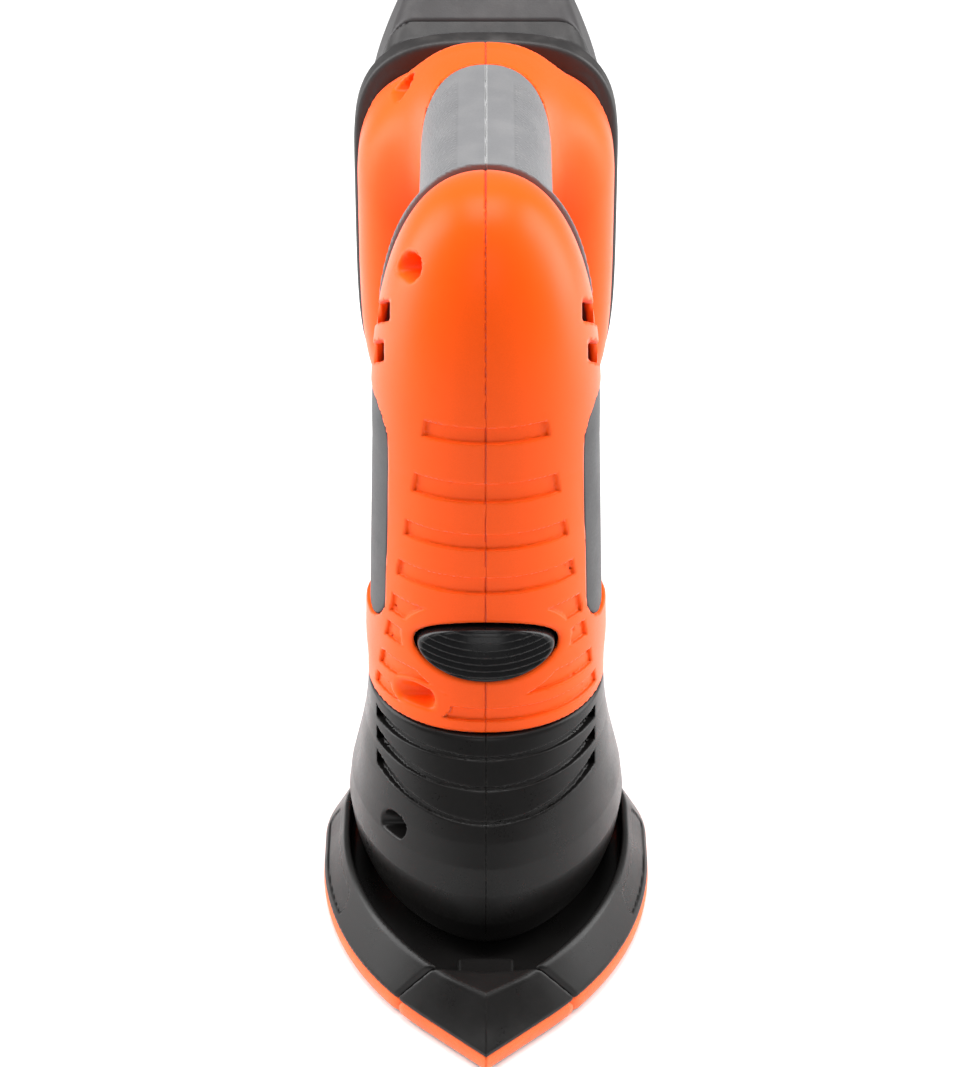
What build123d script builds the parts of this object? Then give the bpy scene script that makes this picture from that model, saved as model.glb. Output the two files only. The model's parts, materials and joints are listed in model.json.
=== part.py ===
from build123d import *
import math
import os

# Cordless detail sander standing on its pad. All sizes in mm.
# X runs right, -Y is the pointed front, Z is up. The origin lies on the motor axis at the pad's underside.

# ---- pad and platen ----
PAD_HALF_WIDTH = 47.2
PAD_SIDE_RADIUS = 97.5
PAD_TIP_HALF_ANGLE = 46.0
PAD_TIP_ROUND = 2.5
PAD_STRAIGHT = 5.0
PAD_REAR_REACH = 42.0
HOOK_TOP = 0.9
HOOK_INSET = 1.0
FOAM_TOP = 5.8
PLATEN_LIP_TOP = 7.2
PLATEN_FLOOR_TOP = 8.5
PLATEN_RIM_TOP = 18.6
RIM_OUTER_INSET = 6.0
RIM_INNER_INSET = 7.7
ORBIT_RADIUS = 0.8
HUB_RADIUS = 14.0
TIP_SEAM_SIDE = (45.0, -64.5)
TIP_SEAM_APEX_Y = -70.5
TIP_GAP = 0.3
TIP_SCREW_Y = -62.0
TONGUE_FRONT_Y = -72.0
TONGUE_REAR_Y = -56.0
TONGUE_TOP_Z = 11.6
CUP_RADIUS = 7.0
CUP_TOP = 19.0

# ---- sanding head ----
NOSE_WALL = 2.5
NOSE_TOP = 72.0
NOSE_BOTTOM = 14.0
NOSE_SEAT_X = -17.0
COUNTERBORE_RADIUS = 3.9
NECK_RADIUS = 20.0
NECK_BORE = 16.5
NECK_TOP = 104.0
BEARING_RADIUS = 11.0
BEARING_WIDTH = 7.0
SHAFT_RADIUS = 4.0
FIT = 0.05
POST_RADIUS = 4.0
POST_CLEARANCE = 1.3
POSTS = [(-20.0, 13.0), (20.0, 13.0), (-15.0, -19.0), (15.0, -19.0)]
NOSE_BOSSES = [(-33.0, 40.5), (27.0, 40.5)]

# ---- power unit ----
WALL = 2.5
BARREL_BOTTOM = 75.0
BARREL_LOW_RADIUS = 33.4
BARREL_WAIST_RADIUS = 31.3
BARREL_WAIST_Z = 150.0
BARREL_TOP = 226.0
DOME_POWER = 2.45
MOTOR_RADIUS = 21.0
MOTOR_BOTTOM = 108.0
MOTOR_TOP = 166.0
BUTTON_Z = 98.8
BUTTON_HALF_WIDTH = 18.8
BUTTON_HALF_HEIGHT = 8.6
BUTTON_GAP = 0.5
OVERMOLD_DEPTH = 1.6
FOOT_FRONT_Y = 119.0
FOOT_REAR_Y = 143.0
DOCK_FRONT_Y = 131.5
RING_RADIUS = 22.6
HOUSING_BOSSES = [(-12.0, 206.8), (-27.0, 80.8), (27.1, 82.5), (128.0, 190.8), (125.0, 91.0), (88.0, 170.0)]
BOSS_RADIUS = 5.0
SCREW_SEAT_X = -8.0
VENT_HEIGHTS = (174.2, 186.5)
VENT_HALF = 3.4
BARREL_GROOVES = [(166.8, 4.4, 16.0), (149.3, 5.6, 19.0), (134.0, 4.6, 21.5), (120.3, 5.0, 24.0)]

# ---- battery ----
BATTERY_FRONT_Y = 143.4
FLANGE_REAR_Y = 151.0
BATTERY_SPLIT_Y = 156.0
BATTERY_REAR_Y = 187.0
CELL_RADIUS = 9.1
CELL_LENGTH = 65.0
CELL_PITCH = 18.6
CELL_LOWEST_Z = 96.0
CELL_Y = 168.0
BLADE_XS = (-13.0, 0.0, 13.0)
TONGUE_BOTTOM = 84.0
TONGUE_TOP = 178.0

FAR = 400.0


# ---------------------------------------------------------------- general shapes
def block(x0, x1, y0, y1, z0, z1):
    """Box between two corners."""
    return Pos((x0 + x1) / 2, (y0 + y1) / 2, (z0 + z1) / 2) * Box(x1 - x0, y1 - y0, z1 - z0)


def disc(radius, z0, z1, x=0.0, y=0.0):
    """Upright cylinder from z0 to z1."""
    return Pos(x, y, (z0 + z1) / 2) * Cylinder(radius, z1 - z0)


def tube(outer, inner, z0, z1, x=0.0, y=0.0):
    """Upright tube from z0 to z1."""
    return disc(outer, z0, z1, x, y) - disc(inner, z0, z1, x, y)


def rod_x(radius, x0, x1, y, z):
    """Cylinder lying along X."""
    return Pos((x0 + x1) / 2, y, z) * Rot(0, 90, 0) * Cylinder(radius, x1 - x0)


def egg(half, front, back, mid):
    """Closed outline of two half-ellipses that share their width at mid."""
    near = EllipticalCenterArc((0, mid), half, mid - front, start_angle=180, arc_size=180)
    far = EllipticalCenterArc((0, mid), half, back - mid, start_angle=0, arc_size=180)
    return make_face(Wire([near, far]))


def slab_face(half, low, high, low_round, high_round):
    """Upright slab outline with one radius on the lower corners and another on the upper ones."""
    corners = [
        (1, low, low_round, 1),
        (1, high, high_round, -1),
        (-1, high, high_round, -1),
        (-1, low, low_round, 1),
    ]
    bend = 1 - math.sqrt(0.5)
    edges = []
    for number, (side, edge, radius, inward) in enumerate(corners):
        on_edge = (side * (half - radius), edge)
        middle = (side * (half - bend * radius), edge + inward * bend * radius)
        on_side = (side * half, edge + inward * radius)
        start, end = (on_edge, on_side) if number % 2 == 0 else (on_side, on_edge)
        if edges:
            edges.append(Line(edges[-1] @ 1, start))
        edges.append(ThreePointArc(start, middle, end))
    edges.append(Line(edges[-1] @ 1, edges[0] @ 0))
    return make_face(Wire(edges))


def slab(face, front_y, rear_y):
    """Outline drawn in X and Z, run from front_y back to rear_y."""
    return extrude(at_y(front_y, face), front_y - rear_y)


def at_y(y, face):
    """Face drawn in X and Z, placed at a given Y."""
    return Plane.XZ.offset(-y) * face


def left_of(shape):
    """The -X half of a shape."""
    return shape & block(-FAR, 0, -FAR, FAR, -FAR, FAR)


def right_of(shape):
    """The +X half of a shape."""
    return shape & block(0, FAR, -FAR, FAR, -FAR, FAR)


def screw_x(y, z, seat_x, length):
    """Pan-head screw lying along X, head towards -X and seated at seat_x, with a cross recess."""
    head_x = seat_x - 2.0
    head = rod_x(2.8, head_x, seat_x, y, z)
    shank = rod_x(1.45, seat_x, seat_x + length, y, z)
    recess = block(head_x, head_x + 1.1, y - 1.8, y + 1.8, z - 0.35, z + 0.35)
    recess += block(head_x, head_x + 1.1, y - 0.35, y + 0.35, z - 1.8, z + 1.8)
    return head + shank - recess


# ---------------------------------------------------------------- pad and platen
def pad_outline(inset, z):
    """Iron-shaped outline: pointed front, long side arcs, half-ellipse rear."""
    radius = PAD_SIDE_RADIUS - inset
    centre_x = PAD_HALF_WIDTH - PAD_SIDE_RADIUS
    half = PAD_HALF_WIDTH - inset
    turn = math.radians(PAD_TIP_HALF_ANGLE)
    ax = centre_x + radius * math.cos(turn)
    ay = -PAD_STRAIGHT - radius * math.sin(turn)
    mx = centre_x + radius * math.cos(turn / 2)
    my = -PAD_STRAIGHT - radius * math.sin(turn / 2)
    tip_y = ay - ax / math.tan(turn)
    rear = PAD_REAR_REACH - inset
    side = Line((half, -PAD_STRAIGHT), (half, PAD_STRAIGHT))
    rear_arc = EllipticalCenterArc((0, PAD_STRAIGHT), half, rear, start_angle=0, arc_size=180)
    edges = [
        Line((0, tip_y), (ax, ay)),
        ThreePointArc((ax, ay), (mx, my), (half, -PAD_STRAIGHT)),
        side,
        rear_arc,
        Line((-half, PAD_STRAIGHT), (-half, -PAD_STRAIGHT)),
        ThreePointArc((-half, -PAD_STRAIGHT), (-mx, my), (-ax, ay)),
        Line((-ax, ay), (0, tip_y)),
    ]
    face = make_face(Wire(edges))
    face = fillet(face.vertices().sort_by(Axis.Y)[0], PAD_TIP_ROUND)
    return Pos(0, 0, z) * face


def pad_layer(inset, z0, z1):
    """Flat layer under the whole platen, drawn in a little from its edge."""
    return extrude(pad_outline(inset, z0), z1 - z0)


def tip_zone(grow):
    """Prism that holds the diamond tip; its rear edges run forwards to meet on the middle line."""
    side_x, side_y = TIP_SEAM_SIDE
    side_y += grow
    apex = TIP_SEAM_APEX_Y + grow
    corners = [(0, apex), (side_x, side_y), (side_x, -FAR), (-side_x, -FAR), (-side_x, side_y)]
    return extrude(make_face(Polyline(*corners, close=True)), 60)


def platen_block():
    """Whole platen and tip before they are parted: an upright lip under a sloping outer wall."""
    lip = extrude(pad_outline(0.0, FOAM_TOP), PLATEN_LIP_TOP - FOAM_TOP)
    slope = loft([pad_outline(0.0, PLATEN_LIP_TOP), pad_outline(RIM_OUTER_INSET, PLATEN_RIM_TOP)], ruled=True)
    return lip + slope


def platen():
    """Main platen: hub for the bearing, cups for the flexible posts, stiffening ribs."""
    basin = extrude(pad_outline(RIM_INNER_INSET, PLATEN_FLOOR_TOP), 20)
    body = platen_block() - basin - tip_zone(TIP_GAP)
    body += disc(HUB_RADIUS, PLATEN_FLOOR_TOP - 0.5, 24, 0, -ORBIT_RADIUS)
    for x, y in POSTS:
        body += disc(CUP_RADIUS, PLATEN_FLOOR_TOP - 0.5, CUP_TOP, x, y - ORBIT_RADIUS)
    for angle in (35, 90, 145, 215, 325):
        rib = Pos(0, -ORBIT_RADIUS, 10.2) * Rot(0, 0, angle) * Pos(22, 0, 0) * Box(20, 1.8, 4.0)
        body += rib & disc(34, 0, 40, 0, 4)
    for x, y in POSTS:
        body -= disc(POST_RADIUS + POST_CLEARANCE, PLATEN_FLOOR_TOP, CUP_TOP, x, y - ORBIT_RADIUS)
    body -= disc(BEARING_RADIUS + FIT, 17, 24, 0, -ORBIT_RADIUS)
    body -= disc(9.3, 12, 17, 0, -ORBIT_RADIUS)
    return body - disc(1.7, 0, PLATEN_FLOOR_TOP, 0, TIP_SCREW_Y)


def tip_carrier():
    """Solid diamond tip with a tongue that lies on the main platen's floor and takes the screw."""
    body = platen_block() & tip_zone(0)
    body += block(-8, 8, TONGUE_FRONT_Y, TONGUE_REAR_Y, PLATEN_FLOOR_TOP + 0.1, TONGUE_TOP_Z)
    return body - disc(1.25, 0, TONGUE_TOP_Z - 0.8, 0, TIP_SCREW_Y)


def tip_layer(inset, z0, z1):
    return pad_layer(inset, z0, z1) & tip_zone(0)


def main_layer(inset, z0, z1):
    return pad_layer(inset, z0, z1) - tip_zone(TIP_GAP) - disc(3.7, 0, FOAM_TOP, 0, TIP_SCREW_Y)


def tip_screw():
    """Screw put in from below through the platen's floor into the tongue, with a cross recess."""
    y = TIP_SCREW_Y
    low = FOAM_TOP - 2.0
    head = disc(3.0, low, FOAM_TOP - 0.02, 0, y)
    for half_x, half_y in ((1.8, 0.35), (0.35, 1.8)):
        head -= block(-half_x, half_x, y - half_y, y + half_y, low, low + 1)
    return head + disc(1.2, FOAM_TOP - 0.02, TONGUE_TOP_Z - 1, 0, y)


def bearing(z0, y=0.0):
    """Sealed ball bearing: outer ring, inner ring and recessed shields as one piece."""
    ring = tube(BEARING_RADIUS, SHAFT_RADIUS + FIT, z0, z0 + BEARING_WIDTH, 0, y)
    for z in (z0, z0 + BEARING_WIDTH - 0.5):
        ring -= tube(9.3, 6.2, z, z + 0.5, 0, y)
    return ring


# ---------------------------------------------------------------- eccentric
def eccentric_shaft():
    y = -ORBIT_RADIUS
    shaft = disc(SHAFT_RADIUS, 38, 80) + disc(SHAFT_RADIUS, 14, 38, 0, y) + disc(6.5, 29, 40)
    groove = tube(6, 3.4, 15.2, 16.3, 0, y)
    return shaft - groove


def counterweight():
    half_disc = disc(17, 30, 38.5) & block(-20, 20, 0.5, 20, 30, 39)
    return half_disc + tube(9, 0.1, 30, 38.5) - disc(6.5, 29, 40)


def retaining_ring():
    ring = tube(6.2, 3.45, 15.3, 16.2, 0, -ORBIT_RADIUS)
    return ring - block(-1.5, 1.5, 0, 10, 15, 17)


def lobed(radius, depth, z0, z1):
    """Six-lobed coupling profile."""
    points = []
    count = 36
    for i in range(count):
        angle = 2 * math.pi * i / count
        r = radius - depth * (1 - math.cos(6 * angle)) / 2
        points.append((r * math.cos(angle), r * math.sin(angle)))
    return extrude(Pos(0, 0, z0) * make_face(Spline(*points, periodic=True)), z1 - z0)


def drive_socket():
    body = disc(9, 76, 97) - lobed(6.35, 1.2, 80.5, 97) - disc(6.4, 95.5, 97)
    return body - disc(SHAFT_RADIUS, 76, 80)


# ---------------------------------------------------------------- sanding head
def nose_form(inset):
    """Nose that flares downwards from the round collar and reaches further forwards lower down."""
    rows = [
        (NOSE_TOP, 33.2, -34.5, 33.5, 0),
        (58, 34.2, -40.5, 35.0, 0),
        (44, 37.2, -46.5, 37.0, 1),
        (29, 39.7, -51.0, 38.5, 3),
        (NOSE_BOTTOM, 37.0, -53.0, 35.0, 4),
    ]
    sections = []
    for z, half, front, back, mid in rows:
        sections.append(Pos(0, 0, z) * egg(half - inset, front + inset, back - inset, mid))
    return loft(sections)


def nose_shell():
    """Whole black nose with the seats of the neck and the bearing carrier, still in one piece."""
    cavity = nose_form(NOSE_WALL) & block(-60, 60, -60, 60, 0, 69.8)
    ribs = nose_form(1.0) & (block(-60, 60, -60, 60, 43.4, 53.6) + block(-60, 60, -60, 60, 62.9, 65.9))
    bosses = Part() + [rod_x(BOSS_RADIUS, -27, 27, y, z) for y, z in NOSE_BOSSES]
    shell = nose_form(0) - cavity + (ribs - disc(28.5, 40, 66)) + (bosses & nose_form(1.0))
    cuts = [disc(31.1, 47, 50.05), disc(30.1, 65.9, 69.8), disc(NECK_RADIUS + 0.15, 69, 73)]
    cuts += [screw_hole(y, z, NOSE_SEAT_X) for y, z in NOSE_BOSSES]
    return shell - cuts


def nose_screws():
    return Compound([screw_x(y, z, NOSE_SEAT_X, 28) for y, z in NOSE_BOSSES])


def neck():
    body = disc(NECK_RADIUS, 66, NECK_TOP) + disc(30, 66, 69.7)
    body -= disc(NECK_BORE, 60, 110)
    return body - tube(NECK_RADIUS + 1, NECK_RADIUS - 2.2, 96.6, 101)


def bearing_carrier():
    body = disc(31, 47.05, 50) + disc(15, 44, 65)
    body -= disc(BEARING_RADIUS + FIT, 44, 51.1) + disc(BEARING_RADIUS + FIT, 58, 66) + disc(9.5, 50, 60)
    for x, y in POSTS:
        body -= disc(POST_RADIUS + 0.02, 40, 60, x, y)
    return body


def flex_posts():
    posts = []
    for x, y in POSTS:
        post = disc(POST_RADIUS, 8.7, 52, x, y) - tube(POST_RADIUS + 1, 3.0, 22, 42, x, y)
        posts.append(post)
    return Compound(posts)


# ---------------------------------------------------------------- power unit
def barrel_radius(z):
    """Outer radius of the barrel at a height."""
    if z < BARREL_WAIST_Z:
        rise = (z - BARREL_BOTTOM) / (BARREL_WAIST_Z - BARREL_BOTTOM)
        return BARREL_LOW_RADIUS + (BARREL_WAIST_RADIUS - BARREL_LOW_RADIUS) * rise
    rise = (z - BARREL_WAIST_Z) / (BARREL_TOP - BARREL_WAIST_Z)
    return BARREL_WAIST_RADIUS * (1 - rise ** DOME_POWER) ** (1 / DOME_POWER)


def barrel_form(inset):
    """Round barrel with a slight taper and a domed top."""
    low = BARREL_LOW_RADIUS - inset
    waist = BARREL_WAIST_RADIUS - inset
    top = BARREL_TOP - inset
    dome = []
    for i in range(6):
        angle = math.pi / 2 * i / 5
        r = waist * math.cos(angle) ** (2 / DOME_POWER)
        z = BARREL_WAIST_Z + (top - BARREL_WAIST_Z) * math.sin(angle) ** (2 / DOME_POWER)
        dome.append((r if i < 5 else 0.0, z))
    profile = Polyline((0, top), (0, BARREL_BOTTOM), (low, BARREL_BOTTOM), (waist, BARREL_WAIST_Z))
    edge = Spline(*dome, tangents=[(0, 1), (-1, 0)])
    return revolve(Plane.XZ * make_face(profile + edge), Axis.Z)


def grip_form(inset):
    """Handle running back from the barrel, a rounded box in section."""
    corner = 15.5 - inset
    front = slab_face(18.4 - inset, 162.5 + inset, 212.0 - inset, corner, corner)
    rear = slab_face(18.6 - inset, 161.0 + inset, 205.0 - inset, corner, corner)
    return loft([at_y(2, front), at_y(124, rear)], ruled=True)


def foot_form(inset, rear_y):
    """Broad foot that carries the battery on its rear face, well rounded at the front."""
    face = slab_face(38.9 - inset, 77.5 + inset, 197.6 - inset, 11.0 - inset, 34.0 - inset)
    body = slab(face, FOOT_FRONT_Y + inset, rear_y)
    return fillet(body.faces().sort_by(Axis.Y)[0].edges(), 9.0 - inset)


def body_form(inset, foot_rear=FOOT_REAR_Y):
    return barrel_form(inset) + grip_form(inset) + foot_form(inset, foot_rear)


def overmold_zone():
    """Region of the handle's back and sides wrapped by the grip cover."""
    side = make_face(
        Polyline((10, 230), (10, 176), (60, 181), (98, 181))
        + ThreePointArc((98, 181), (111, 194), (111, 206))
        + Polyline((111, 206), (111, 230), (10, 230))
    )
    return extrude(Plane.YZ.offset(-30) * side, 60)


def grip_overmold():
    layer = (grip_form(0) - grip_form(OVERMOLD_DEPTH)) & overmold_zone()
    layer -= barrel_form(0) + foot_form(0, FOOT_REAR_Y)
    return layer


def side_panels(depth, gap=0.0):
    """Both grey inlays low on the barrel's flanks."""
    zone = block(-40, 40, -17 - gap, 19 + gap, 93 - gap, 166 + gap)
    return ((barrel_form(-0.15) - barrel_form(depth)) & zone) - grip_form(0)


def screw_hole(y, z, seat_x):
    """Counterbore from the left down to the seat, then clearance and pilot holes."""
    bores = rod_x(COUNTERBORE_RADIUS, -FAR, seat_x, y, z) + rod_x(1.6, seat_x, 0, y, z)
    return bores + rod_x(1.5, 0, 14, y, z)


def button_hole(grow, y0, y1):
    face = at_y(y0, Pos(0, BUTTON_Z) * Ellipse(BUTTON_HALF_WIDTH + grow, BUTTON_HALF_HEIGHT + grow))
    return extrude(face, y0 - y1)


def barrel_groove(z, height, reach):
    """Arc groove across the front of the barrel."""
    radius = barrel_radius(z) - 1.0
    return tube(50, radius, z - height / 2, z + height / 2) & block(-reach, reach, -60, 0, z - 5, z + 5)


def dock_channel():
    """T-shaped channel, open at the bottom, that takes the battery's tongue."""
    top = TONGUE_TOP + 1
    return block(-30.2, 30.2, 133.5, 137.9, 60, top) + block(-26.2, 26.2, 137, 150, 60, top)


def terminal_pocket(gap):
    """Stepped seat of the terminal block above the channel."""
    low = block(-14 - gap, 14 + gap, 129.5 - gap, 133.4 + gap, 171 - gap, 186 + gap)
    return low + block(-18.5 - gap, 18.5 + gap, 133.4, 140.5 + gap, TONGUE_TOP + 1 - gap, 186 + gap)


def motor_ribs():
    """Rings inside the barrel that carry the motor."""
    inner = barrel_form(1.0)
    seat = inner & block(-40, 40, -12, 40, 104.5, 107.9) - disc(17, 100, 110)
    rings = inner & (block(-40, 40, -40, 40, 110, 113) + block(-40, 40, -40, 40, 158, 161))
    return seat + (rings - disc(MOTOR_RADIUS + 0.02, 100, 180))


def vent_slots():
    """Notches in both flanks: a shallow recess in front that opens inwards towards the rear."""
    slots = []
    for side in (-1, 1):
        for z in VENT_HEIGHTS:
            low, high = z - VENT_HALF, z + VENT_HALF
            slots.append(block(side * 31.5 - 4.8, side * 31.5 + 4.8, -4, 10, low, high))
            slots.append(block(side * 29 - 7, side * 29 + 7, 3, 10, low, high))
    return slots


def vent_backing():
    """Thickened wall behind the front of the notches."""
    low, high = VENT_HEIGHTS[0] - VENT_HALF - 2, VENT_HEIGHTS[1] + VENT_HALF + 2
    return Part() + [block(side * 28 - 3.2, side * 28 + 3.2, -6, 3, low, high) for side in (-1, 1)]


def housing(cover, panels):
    """Whole orange housing, still in one piece; cover and panels are let into it."""
    cavity = (barrel_form(WALL) & block(-60, 60, -60, 60, 78, 230)) + grip_form(WALL)
    cavity += foot_form(WALL, DOCK_FRONT_Y)
    shell = body_form(0) - cavity
    ribs = motor_ribs()
    bosses = Part() + [rod_x(BOSS_RADIUS, -36, 36, y, z) for y, z in HOUSING_BOSSES]
    shell += ribs + ((bosses + vent_backing()) & body_form(1.0))
    cuts = [cover, panels, dock_channel(), terminal_pocket(0.1), button_hole(BUTTON_GAP, -45, -20)]
    cuts += [disc(RING_RADIUS + 0.1, 70, 97), disc(NECK_RADIUS + 0.5, 96, 104)]
    cuts += [screw_hole(y, z, SCREW_SEAT_X) for y, z in HOUSING_BOSSES]
    cuts += [barrel_groove(z, height, reach) for z, height, reach in BARREL_GROOVES]
    cuts += vent_slots()
    cuts += [block(-9.0, 9.0, 43, 69, 150, 170), block(-30, 30, 33.3, 40.7, 169.3, 175.7)]
    return shell - cuts


def housing_screws():
    return Compound([screw_x(y, z, SCREW_SEAT_X, 20) for y, z in HOUSING_BOSSES])


def socket_ring():
    return tube(31, NECK_RADIUS + 0.1, 72.6, 74.9) + tube(RING_RADIUS, NECK_RADIUS + 0.1, 74.9, 96.4)


def release_button():
    band = disc(34.4, 80, 120) - disc(29.0, 80, 120)
    cap = band & button_hole(0, -45, -20)
    flange = (disc(29.6, 80, 120) - disc(27.2, 80, 120)) & button_hole(2.0, -45, -18)
    body = cap + flange
    for step in range(-3, 4):
        body -= tube(36, 33.6, BUTTON_Z + step * 2.2 - 0.5, BUTTON_Z + step * 2.2 + 0.5)
    return body


def latch_ring():
    outer = Circle(24.5) + Pos(0, -23) * Rectangle(16, 8)
    hole = Circle(NECK_RADIUS + 0.4) + Pos(0, -1.6) * Circle(NECK_RADIUS + 0.4)
    return extrude(Pos(0, 0, 97) * (outer - hole), 3.4) & disc(27.1, 90, 105)


def motor_can():
    body = tube(MOTOR_RADIUS, MOTOR_RADIUS - 1.4, MOTOR_BOTTOM, MOTOR_TOP)
    body += tube(MOTOR_RADIUS, 6.5, MOTOR_BOTTOM, MOTOR_BOTTOM + 1.5)
    return body + tube(8.5, 6.5, MOTOR_BOTTOM, MOTOR_BOTTOM + 6)


def motor_magnets():
    ring = tube(MOTOR_RADIUS - 1.4, 15.4, 114, 156)
    gap = block(-5, 5, -30, 30, 110, 160)
    return Compound((ring - gap).solids())


def motor_endcap():
    body = disc(MOTOR_RADIUS - 1.4, 164, 166) + disc(MOTOR_RADIUS, MOTOR_TOP, 170) + disc(9, 170, 174)
    body -= disc(6.5, 150, 180)
    for side in (-1, 1):
        body += block(side * 11 - 3.4, side * 11 + 3.4, -3.4, 3.4, 156.5, 166)
        body -= block(side * 10 - 5.5, side * 10 + 5.5, -2.2, 2.2, 158, 163)
    return body


def carbon_brushes():
    return Compound([block(x - 3.4, x + 3.4, -2.1, 2.1, 158.1, 162.9) for x in (-9.6, 9.6)])


def motor_bearings():
    low = tube(6.5, 2.5 + FIT, MOTOR_BOTTOM + 0.5, MOTOR_BOTTOM + 5.5)
    high = tube(6.5, 2.5 + FIT, 168, 173)
    return Compound([low, high])


def rotor_shaft():
    return disc(2.5, 84, 191)


def armature():
    body = disc(14.6, 116, 150)
    for i in range(8):
        body -= Rot(0, 0, 45 * i) * block(12.0, 16, -0.9, 0.9, 116, 150)
    body += tube(12, 3, 114.6, 116) + tube(12, 3, 150, 153.5)
    return body - disc(2.5, 100, 170)


def commutator():
    body = tube(6.0, 2.5, 154, 165)
    for i in range(12):
        body -= Rot(0, 0, 30 * i) * block(5.4, 7, -0.2, 0.2, 154, 165)
    return body


def cooling_fan():
    body = tube(6, 2.5, 177, 189) + tube(22, 5, 177, 178.4)
    for i in range(9):
        body += Rot(0, 0, 40 * i) * Pos(13.5, 0, 182.5) * Rot(0, 0, 20) * Box(16, 1.2, 9)
    return body & disc(22.5, 170, 195) - disc(2.5, 170, 195)


def drive_coupling():
    return lobed(6.25, 1.2, 82, 96) + disc(6.0, 96, 101) - disc(2.5, 84, 110)


def trigger():
    finger = block(-8.4, 8.4, 44, 68, 152, 160)
    hollow = rod_x(14.5, -20, 20, 53, 141.5)
    guide = block(-8.4, 8.4, 45.5, 66.5, 160, 167)
    stem = block(-2, 2, 52, 60, 167, 176.5)
    return finger - hollow + guide + stem - disc(3.0, 163, 168, 0, 64.0)


def trigger_spring():
    """Coil spring between the trigger's pocket and the switch."""
    path = Helix(pitch=1.7, height=9.6, radius=2.2)
    wire = sweep(Plane(path @ 0, z_dir=path % 0) * Circle(0.3), path)
    return Pos(0, 64, 163.5) * wire


def switch_body():
    body = block(-9.5, 9.5, 44, 80, 173.6, 196)
    body -= block(-2.2, 2.2, 51.8, 60.2, 170, 183.5)
    for x in (-5, 5):
        body += block(x - 0.4, x + 0.4, 80, 84, 184, 190)
    return body


def direction_selector():
    return block(-21.5, 21.5, 33.5, 40.5, 169.5, 175.5) - block(-10.5, 10.5, 33, 35, 160, 180)


def terminal_block():
    body = terminal_pocket(0)
    for x in BLADE_XS:
        body -= block(x - 0.4, x + 0.4, 134.2, 139.2, 160, 186)
    return body


def tool_blades():
    return Compound([block(x - 0.4, x + 0.4, 134.2, 139.2, 167, 185.9) for x in BLADE_XS])


def lead(x, start, end):
    """Insulated wire bent through two points inside the handle."""
    path = Spline(start, (x, 104, 183), end)
    return sweep(Plane(path @ 0, z_dir=path % 0) * Circle(0.9), path)


# ---------------------------------------------------------------- battery
def battery_form(inset, front_y=BATTERY_FRONT_Y):
    """Battery body with rounded rear edges."""
    face = slab_face(36.5 - inset, 80 + inset, 213 - inset, 12 - inset, 28 - inset)
    body = slab(face, front_y, BATTERY_REAR_Y - inset)
    return fillet(body.faces().sort_by(Axis.Y)[-1].edges(), 8.0 - inset)


def battery_flange():
    return slab(slab_face(40.1, 78, 201.0, 12, 28), BATTERY_FRONT_Y, FLANGE_REAR_Y)


def battery_tongue():
    """T-shaped tongue that slides in the foot's channel."""
    head = block(-30, 30, 133.7, 137.7, TONGUE_BOTTOM, TONGUE_TOP)
    return head + block(-26, 26, 137.7, 145, TONGUE_BOTTOM, TONGUE_TOP)


def battery_front_shell():
    body = battery_flange() + battery_tongue()
    body += battery_form(0) & block(-60, 60, BATTERY_FRONT_Y, BATTERY_SPLIT_Y, 70, 220)
    hollow = battery_form(2.0) & block(-60, 60, FLANGE_REAR_Y - 3, BATTERY_SPLIT_Y, 70, 220)
    cuts = [hollow, block(-22, 22, 139.5, FLANGE_REAR_Y, 98, 160), block(-12.3, 12.3, 133, 146, 60, 96.5)]
    cuts += [block(x - 1.9, x + 1.9, 133.6, 140.2, 164, 179) for x in BLADE_XS]
    return body - cuts


def battery_rear_shell():
    zone = block(-60, 60, BATTERY_SPLIT_Y + 0.05, 200, 70, 220)
    body = (battery_form(0) - battery_form(2.0)) & zone
    grip_y = BATTERY_REAR_Y - 0.8
    return body - [block(-24, 24, grip_y, grip_y + 2, z, z + 3) for z in range(100, 180, 12)]


def battery_cells():
    cells = []
    for i in range(5):
        z = CELL_LOWEST_Z + CELL_PITCH * i
        half = CELL_LENGTH / 2
        can = rod_x(CELL_RADIUS, -half, half - 1, CELL_Y, z)
        can -= rod_x(CELL_RADIUS + 1, half - 4, half - 3, CELL_Y, z) - rod_x(8.6, half - 5, half, CELL_Y, z)
        cells.append(can + rod_x(3, half - 1, half, CELL_Y, z))
    return Compound(cells)


def cell_holder():
    body = block(-12, 12, CELL_Y - 10.5, CELL_Y + 10.5, 87.5, 179.0)
    for i in range(5):
        body -= rod_x(CELL_RADIUS + 0.05, -40, 40, CELL_Y, CELL_LOWEST_Z + CELL_PITCH * i)
    return body


def battery_terminals():
    clips = []
    for x in BLADE_XS:
        clip = block(x - 1.85, x + 1.85, 133.9, 139.9, 164.1, 176)
        clips.append(clip - block(x - 0.5, x + 0.5, 133, 141, 166.0, 190))
    return Compound(clips)


def battery_latch():
    """Release key at the battery's lower end, with the tooth that holds the pack in the foot."""
    key = block(-12, 12, 137.9, 142.8, 79.5, 83.5) + block(-12, 12, 135.5, 139.5, 83.5, 95.5)
    tooth = block(-8, 8, 133.8, 135.5, 90, 94)
    return key + tooth


# ---------------------------------------------------------------- export
def grouped(shape):
    """Shape as one solid, or as a group of its solids."""
    solids = shape.solids()
    return solids[0] if len(solids) == 1 else Compound(solids)


def save(name, shape):
    shape = grouped(shape)
    print(name, len(shape.solids()), round(shape.volume, 1))
    export_step(shape, f"parts/{name}.step")


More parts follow.
